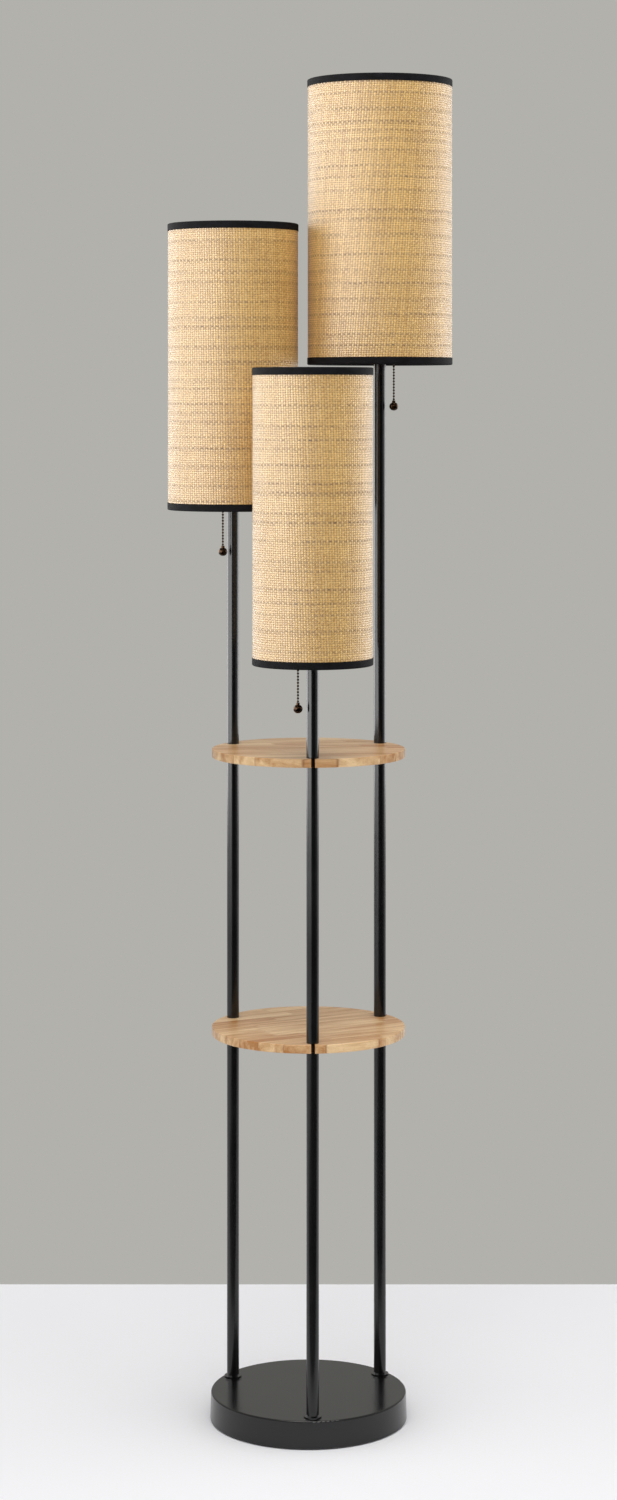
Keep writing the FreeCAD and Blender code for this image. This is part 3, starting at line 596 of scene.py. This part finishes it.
def flat_corners(around, up_of_line, columns):
    """(across, up) for every corner of the quads that join_rings makes."""
    lines = len(up_of_line)
    r, c = np.meshgrid(np.arange(lines - 1), np.arange(columns), indexing="ij")
    u0, u1 = c * around / columns, (c + 1) * around / columns
    v0, v1 = up_of_line[r], up_of_line[r + 1]
    corners = [(u0, v0), (u1, v0), (u1, v1), (u0, v1)]
    return np.stack([np.stack([u.ravel(), v.ravel()], axis=1) for u, v in corners], axis=1)


def slub_rows(rng, rows, columns):
    """How brown and how knotted each crossing is: 0 to 1 for every row and column."""
    brown = np.zeros((rows, columns))
    knots = np.zeros((rows, columns))
    dashes = value_noise(rng, (rows, columns), (rows, columns // 5))
    patches = value_noise(rng, (rows, columns), (rows, 9))
    row = rows - int(rng.integers(*SLUB_START))
    while row > 1:
        strength = rng.uniform(0.6, 1.0)
        for at, share in ((row, 1.0), (row - 1, rng.uniform(0.0, 0.8))):
            spots = strength * share * np.clip(0.9 + 0.6 * dashes[at] + 0.4 * patches[at], 0.1, 1)
            brown[at] = np.maximum(brown[at], spots)
        for _ in range(int(rng.integers(0, 4))):
            at = int(rng.integers(0, columns))
            span = int(rng.integers(1, 4))
            knots[row, np.arange(at, at + span) % columns] = rng.uniform(0.5, 1)
        row -= int(rng.integers(*SLUB_GAP))
    faint = value_noise(rng, (rows, columns), (rows, 14))
    return np.maximum(brown, np.clip(0.5 * faint - 0.18, 0, 0.3)), knots


def cord_heights(rng, weave, brown):
    """How far every point of the weave lies under the tops of the cords, as a negative height."""
    crossing = weave.on_row & weave.on_rib
    height = np.select(
        [crossing & weave.weft_over, crossing, weave.on_rib & ~weave.on_row, weave.on_row & ~weave.on_rib],
        [WEFT_SHARE + LIFT_SHARE, WARP_SHARE + LIFT_SHARE, WARP_SHARE, WEFT_SHARE],
        0.0,
    )
    height = RELIEF * (height - 1)
    height = height + SLUB_SWELL * brown * weave.weft_over
    height = height + UNEVEN * value_noise(rng, weave.size, (weave.rows // 3, weave.ribs // 2))
    from_rim = np.minimum(np.arange(weave.lines), np.arange(weave.lines)[::-1])[:, None]
    height = np.where(from_rim <= 1, np.minimum(height, -RIM_SHARE * RELIEF), height)
    return np.minimum(height, 0.0)


def cord_places(rng, weave, shade):
    """Where every point of the weave lies: share of the way round, and height."""
    slow = RIB_SWAY[0] * value_noise(rng, weave.size, (8, weave.ribs))
    sway = slow + RIB_SWAY[1] * value_noise(rng, weave.size, (weave.rows // 2, weave.ribs))
    up_from_middle = np.linspace(-0.5, 0.5, weave.lines)[:, None] * shade.height
    lean = math.tan(math.radians(RIB_LEAN[shade.side])) * up_from_middle
    across = weave.share + sway / weave.columns + lean / shade.around
    slow = ROW_SAG[0] * value_noise(rng, weave.size, (10, 24))
    sag = slow + ROW_SAG[1] * value_noise(rng, weave.size, (weave.rows // 2, weave.ribs // 3))
    inside = np.sin(np.linspace(0, math.pi, weave.lines))[:, None] ** 0.25
    up = np.linspace(shade.bottom, shade.top, weave.lines)[:, None] + sag * ROW_PITCH * inside
    return across, up


def weave_cover(shade, material):
    """Woven layer of a shade: every cord crossing is modelled, with slubs, and a lapped seam."""
    rng, weave = shade.rng, Weave(shade)
    lines, columns = weave.size
    slub, knot = slub_rows(rng, weave.rows, columns)
    row_of = np.clip(np.arange(lines) // 2, 0, weave.rows - 1)
    slub, knot = slub[row_of] * weave.on_row, knot[row_of] * weave.on_row
    height = cord_heights(rng, weave, slub)
    across, up = cord_places(rng, weave, shade)
    outer = shade.wrap(across, shade.radius + height + shade.seam_lift(across % 1.0), up)
    back = shade.wrap(weave.share, shade.radius - WEAVE_T, np.array([[shade.bottom], [shade.top]]))
    piece = smooth_piece(
        f"{shade.side}_shade_weave", np.concatenate([outer, back]),
        join_rings(tube_order(lines), columns).tolist(), material,
    )

    rib_tone = rng.normal(0, RIB_TONE, columns)[None, :] * weave.on_rib
    row_tone = rng.normal(0, ROW_TONE, lines)[:, None] * weave.on_row
    tone = PAPER_TONE + rib_tone + row_tone + WEFT_TONE * weave.weft_over
    tone = tone + rng.normal(0, SPOT_TONE, weave.size)
    for name, values in (("tone", tone), ("slub", slub), ("knot", knot)):
        add_float(piece, name, np.concatenate([values.ravel(), np.zeros(2 * columns)]))
    crossings = [flat_corners(weave.ribs, np.arange(lines) / 2 - 0.5, columns)]
    crossings += [np.zeros((columns, 4, 2))] * 3
    add_flat_map(piece, "crossings", np.concatenate(crossings))
    return piece


def closed_band(shade, name, profile, columns, material, relief=0.0):
    """A closed ring of one cross-section, given as (radius, height) points, with relief on its radii."""
    section = np.array(profile)
    points = shade.wrap(np.arange(columns)[None, :] / columns, section[:, :1] + relief, section[:, 1:])
    faces = join_rings([*range(len(profile)), 0], columns).tolist()
    piece = smooth_piece(name, points, faces, material)
    walked = np.concatenate([[0.0], np.cumsum(np.hypot(*np.diff(section, axis=0).T))])
    walked = np.append(walked, walked[-1] + TAPE_T)
    add_flat_map(piece, "flat", flat_corners(shade.around, walked, columns))
    return piece


def liner(shade, material):
    """Thin inner face that the woven layer is laminated to."""
    inner, outer = shade.radius - WALL_T, shade.radius - WEAVE_T - LINER_GAP
    heights = np.linspace(shade.bottom, shade.top, LINER_LINES)
    profile = [(outer, z) for z in heights] + [(inner, z) for z in heights[::-1]]
    return closed_band(shade, f"{shade.side}_shade_liner", profile, LINER_SIDES, material)


def tape_profile(shade):
    """Cross-section of the tape on the bottom rim: down the outside, over the fold, up the inside."""
    out, inner = shade.radius + TAPE_GAP, shade.radius - WALL_T - RING_WIDTH
    rim = shade.bottom - TAPE_T - TAPE_GAP
    bend, middle = (out - inner) / 2, (out + inner) / 2
    thick = bend + TAPE_T
    low = rim + TAPE_T + TAPE_FOLD_H
    top, inner_top = rim + TAPE_H, rim + TAPE_INNER_H
    fold = [-math.radians(a) for a in range(TAPE_FOLD_STEP, 180, TAPE_FOLD_STEP)]
    outside = [(out + TAPE_T, z) for z in np.linspace(top - TAPE_EDGE, low, TAPE_LINES)]
    under = [(middle + thick * math.cos(a), low + (low - rim) * math.sin(a)) for a in fold]
    inside = [(inner - TAPE_T, z) for z in (low, inner_top - TAPE_INNER_EDGE)]
    back = [(inner, inner_top), (inner, low)]
    over = [(middle + bend * math.cos(a), low + TAPE_FOLD_H * math.sin(a)) for a in fold[::-1]]
    face = [(out, low), (out, top), (out + TAPE_EDGE_T, top)]
    return outside + under + inside + back + over + face


def tape(shade, end, material):
    """Ribbed tape folded over one rim, with a slightly wavy edge and a lap at the seam."""
    profile = tape_profile(shade)
    if end == "top":
        middle = (shade.bottom + shade.top) / 2
        profile = [(r, 2 * middle - z) for r, z in profile][::-1]
    columns = 2 * round(shade.around / TAPE_RIB)
    ribs = np.where(np.arange(columns) % 2 == 0, 0.5, -0.5)[None, :] * TAPE_RIB_DEPTH
    wave = value_noise(shade.rng, (len(profile), columns), (2, 40)) * TAPE_WAVE
    outer_side = np.array(profile)[:, :1] > shade.radius + TAPE_GAP + TAPE_T / 2
    relief = (ribs + wave) * outer_side + shade.seam_lift(np.arange(columns)[None, :] / columns)
    name = f"{shade.side}_rim_tape_{end}"
    return closed_band(shade, name, profile, columns, material, relief)


def dress_shades():
    """Woven layer, liner and two tapes for every shade, in place of the plain CAD cover."""
    weave_paper, lining, rim_tape = weave_material(), liner_material(), tape_material()
    for index, side in enumerate(SIDES):
        shade = Shade(side, index)
        cover = weave_cover(shade, weave_paper)
        inside = liner(shade, lining)
        tapes = [tape(shade, end, rim_tape) for end in ("bottom", "top")]
        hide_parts(f"{side}_shade_cover")
        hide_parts(f"{side}_shade_trims")


# ---- threaded nipples ---------------------------------------------------------------------------
def islands(node_name):
    """Lowest and highest corner of each separate solid of a CAD node."""
    mesh = NODES[node_name].data
    points = np.array([v.co for v in mesh.vertices])
    keys = np.unique(np.round(points, 6), axis=0, return_inverse=True)[1].ravel()
    group = np.arange(keys.max() + 1)

    def root(k):
        while group[k] != k:
            group[k] = group[group[k]]
            k = group[k]
        return k

    for face in mesh.polygons:
        first = root(keys[face.vertices[0]])
        for v in face.vertices[1:]:
            group[root(keys[v])] = first
    roots = np.array([root(k) for k in keys])
    return [(points[roots == r].min(axis=0), points[roots == r].max(axis=0)) for r in np.unique(roots)]


def threaded_rod(low, high):
    """Points and quads of a hollow rod with a helical thread between two corners of a box."""
    lines = round((high[2] - low[2]) / THREAD_PITCH * THREAD_STEPS) + 1
    radius = (high[0] - low[0]) / 2
    x, y = (low[0] + high[0]) / 2, (low[1] + high[1]) / 2
    angle = full_turn(THREAD_SIDES)
    z = np.linspace(low[2], high[2], lines)[:, None]
    phase = (z - low[2]) / THREAD_PITCH - angle / (2 * math.pi)
    tooth = np.abs((phase % 1.0) - 0.5) * 2
    depth = np.clip(0.5 + (1 + THREAD_FLAT) * (tooth - 0.5), 0, 1)
    run_out = np.clip(1 - np.minimum(z - low[2], high[2] - z) / THREAD_LEAD_IN, 0, 1)
    out = radius - THREAD_DEPTH * (depth * (1 - run_out) + run_out)
    ends = np.array([[low[2]], [high[2]]])
    points = [round_points(x, y, angle, out, z), round_points(x, y, angle, NIPPLE_BORE, ends)]
    return np.concatenate(points), join_rings(tube_order(lines), THREAD_SIDES)


def cut_threads(bronze):
    """Real threads on the nipples that show in the slots of the shelves."""
    points, faces, count = [], [], 0
    for low, high in islands("shelf_nipples"):
        rod_points, rod_faces = threaded_rod(low, high)
        points.append(rod_points)
        faces += (rod_faces + count).tolist()
        count += len(rod_points)
    piece = smooth_piece("shelf_threads", np.concatenate(points), faces, bronze)
    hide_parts("shelf_nipples")


# ---- felt ---------------------------------------------------------------------------------------
def lay_felt():
    """Felt disc under the base, with an uneven face and a soft cut edge."""
    low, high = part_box("base_felt_pad")
    rng = np.random.default_rng(FELT_SEED)
    radius, middle = (high.x - low.x) / 2, (low.z + high.z) / 2
    x, y = (low.x + high.x) / 2, (low.y + high.y) / 2
    rings = np.linspace(radius * 0.04, radius - FELT_EDGE, FELT_RINGS)
    side = [(radius, low.z + FELT_EDGE), (radius, high.z - FELT_EDGE / 2)]
    profile = [(r, low.z) for r in rings] + side + [(r, high.z) for r in rings[::-1]]
    count, (out, up) = len(profile), np.hsplit(np.array(profile), 2)
    fuzz = 0.5 + 0.5 * value_noise(rng, (count, FELT_SIDES), (count - 1, FELT_SIDES // 2))
    up = up + np.where(up < middle, 1, -1) * FELT_NAP * fuzz
    out = out - FELT_FRAY * fuzz * (out > radius - 2 * FELT_EDGE)
    centres = np.array([[x, y, low.z + FELT_NAP / 2], [x, y, high.z - FELT_NAP / 2]])
    points = np.concatenate([round_points(x, y, full_turn(FELT_SIDES), out, up), centres])

    c = np.arange(FELT_SIDES)
    after = (c + 1) % FELT_SIDES
    last, low_centre = (count - 1) * FELT_SIDES, count * FELT_SIDES
    faces = join_rings(range(count), FELT_SIDES).tolist()
    faces += np.stack([c, np.full(FELT_SIDES, low_centre), after], axis=1).tolist()
    faces += np.stack([last + after, np.full(FELT_SIDES, low_centre + 1), last + c], axis=1).tolist()
    piece = smooth_piece("felt_disc", points, faces, felt_material())
    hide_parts("base_felt_pad")


# ---- stage --------------------------------------------------------------------------------------
def stage_panel(name, corners, faces, material, unseen_by=()):
    """A panel that isn't part of the object. Unseen_by names the kinds of ray that pass it."""
    made = new_object(name, corners, faces, material)
    for kind in unseen_by:
        setattr(made, f"visible_{kind}", False)


def seen_plainly(tree):
    """1 for rays from the eye, from gloss and through glass, and 0 for all other light."""
    path = node(tree, "ShaderNodeLightPath", {}).outputs
    seen = calc(tree, "MAXIMUM", path["Is Camera Ray"], path["Is Glossy Ray"])
    return calc(tree, "MAXIMUM", seen, path["Is Transmission Ray"])


def floor_material():
    material = new_material("floor_paint", Roughness=1.0, Specular_IOR_Level=0.0)
    tree = material.node_tree
    clouds = noise(tree, place(tree), 3.0, 2.0)
    set_surface(tree, Base_Color=tint(tree, clouds, rgb(244, 244, 247), rgb(247, 247, 249)))
    return material


def wall_material():
    """One grey from the front, to the eye and through glass. Clear from behind and to all other light."""
    material = bpy.data.materials.new("wall_paint")
    material.use_nodes = True
    tree = material.node_tree
    tree.nodes.clear()
    clear = node(tree, "ShaderNodeBsdfTransparent", {}).outputs[0]
    flat = node(tree, "ShaderNodeEmission", {"Color": WALL_COLOUR, "Strength": 1.0}).outputs[0]
    front = node(tree, "ShaderNodeMixShader", {0: seen_plainly(tree), 1: clear, 2: flat}).outputs[0]
    behind = node(tree, "ShaderNodeNewGeometry", {}).outputs["Backfacing"]
    both = node(tree, "ShaderNodeMixShader", {0: behind, 1: front, 2: clear}).outputs[0]
    node(tree, "ShaderNodeOutputMaterial", {"Surface": both})
    return material


def add_stage():
    """Pale floor, and a grey wall that is seen from its front and lets all light through."""
    far, one_face = STAGE_REACH, [(0, 1, 2, 3)]
    floor = [(-far, -far, 0), (far, -far, 0), (far, far, 0), (-far, far, 0)]
    wall = [(-far, WALL_Y, 0), (far, WALL_Y, 0), (far, WALL_Y, far), (-far, WALL_Y, far)]
    stage_panel("floor", floor, one_face, floor_material())
    stage_panel("wall", wall, one_face, wall_material(), unseen_by=("shadow", "diffuse", "glossy"))


def add_flag():
    """Dark panel behind the camera and on the floor before the lamp, seen by gloss alone."""
    (left, right), (far, near) = FLAG_X, FLAG_Y
    corners = [
        (left, near, FLAG_LIFT), (right, near, FLAG_LIFT), (right, far, FLAG_LIFT),
        (right, far, FLAG_TOP), (left, far, FLAG_TOP), (left, far, FLAG_LIFT),
    ]
    cloth = new_material("flag_cloth", Roughness=1.0, Base_Color=rgb(6, 6, 6))
    hidden = ("camera", "diffuse", "transmission", "volume_scatter", "shadow")
    stage_panel("flag", corners, [(0, 1, 2, 5), (5, 2, 3, 4)], cloth, unseen_by=hidden)


def add_world():
    """White to matt surfaces, and the wall's grey to the eye, to gloss and through glass."""
    world = bpy.data.worlds.new("studio")
    world.use_nodes = True
    tree = world.node_tree
    tree.nodes.clear()
    around = node(tree, "ShaderNodeBackground", {"Color": WHITE, "Strength": WORLD_LIGHT}).outputs[0]
    shown = node(tree, "ShaderNodeBackground", {"Color": WALL_COLOUR, "Strength": 1.0}).outputs[0]
    mixed = node(tree, "ShaderNodeMixShader", {0: seen_plainly(tree), 1: around, 2: shown}).outputs[0]
    node(tree, "ShaderNodeOutputWorld", {"Surface": mixed})
    bpy.context.scene.world = world


def softbox(name, at, aim, size, radiance):
    """Area lamp of a given brightness that faces a point."""
    data = bpy.data.lights.new(name, "AREA")
    data.shape = "RECTANGLE"
    data.size, data.size_y = size
    data.energy = radiance * math.pi * size[0] * size[1]
    lamp = bpy.data.objects.new(name, data)
    bpy.context.scene.collection.objects.link(lamp)
    lamp.location = Vector(at)
    lamp.rotation_euler = (Vector(aim) - Vector(at)).to_track_quat("-Z", "Y").to_euler()
    return lamp


def add_lamps():
    """Two lamps, and cards that only gloss sees. The cards leave out what is level, so it doesn't glare."""
    for name, settings in SOFTBOXES.items():
        softbox(name, *settings)
    left_out = bpy.data.collections.new("level_tops")
    for name in LEVEL_TOPS:
        left_out.objects.link(NODES[name])
    for member in left_out.collection_objects:
        member.light_linking.link_state = "EXCLUDE"
    for name, settings in GLOSS_CARDS.items():
        card = softbox(name, *settings)
        card.visible_diffuse = False
        card.light_linking.receiver_collection = left_out


def add_camera():
    data = bpy.data.cameras.new("camera")
    data.sensor_width = SENSOR_MM
    data.lens = SENSOR_MM * FOCAL_PX / PHOTO_H
    data.shift_y = (HORIZON_Y - PHOTO_H / 2) / PHOTO_H
    camera = bpy.data.objects.new("camera", data)
    bpy.context.scene.collection.objects.link(camera)
    camera.location = CAMERA_AT
    camera.rotation_euler = (math.pi / 2, 0.0, 0.0)
    bpy.context.scene.camera = camera


# ---- the scene ----------------------------------------------------------------------------------
bpy.context.scene.view_settings.view_transform = "Standard"
add_camera()
add_stage()
add_world()
add_lamps()
add_flag()
slot_coats = coat_materials()
finish_frame(slot_coats)
cut_threads(slot_coats["dark_bronze"])
dress_shades()
lay_felt()
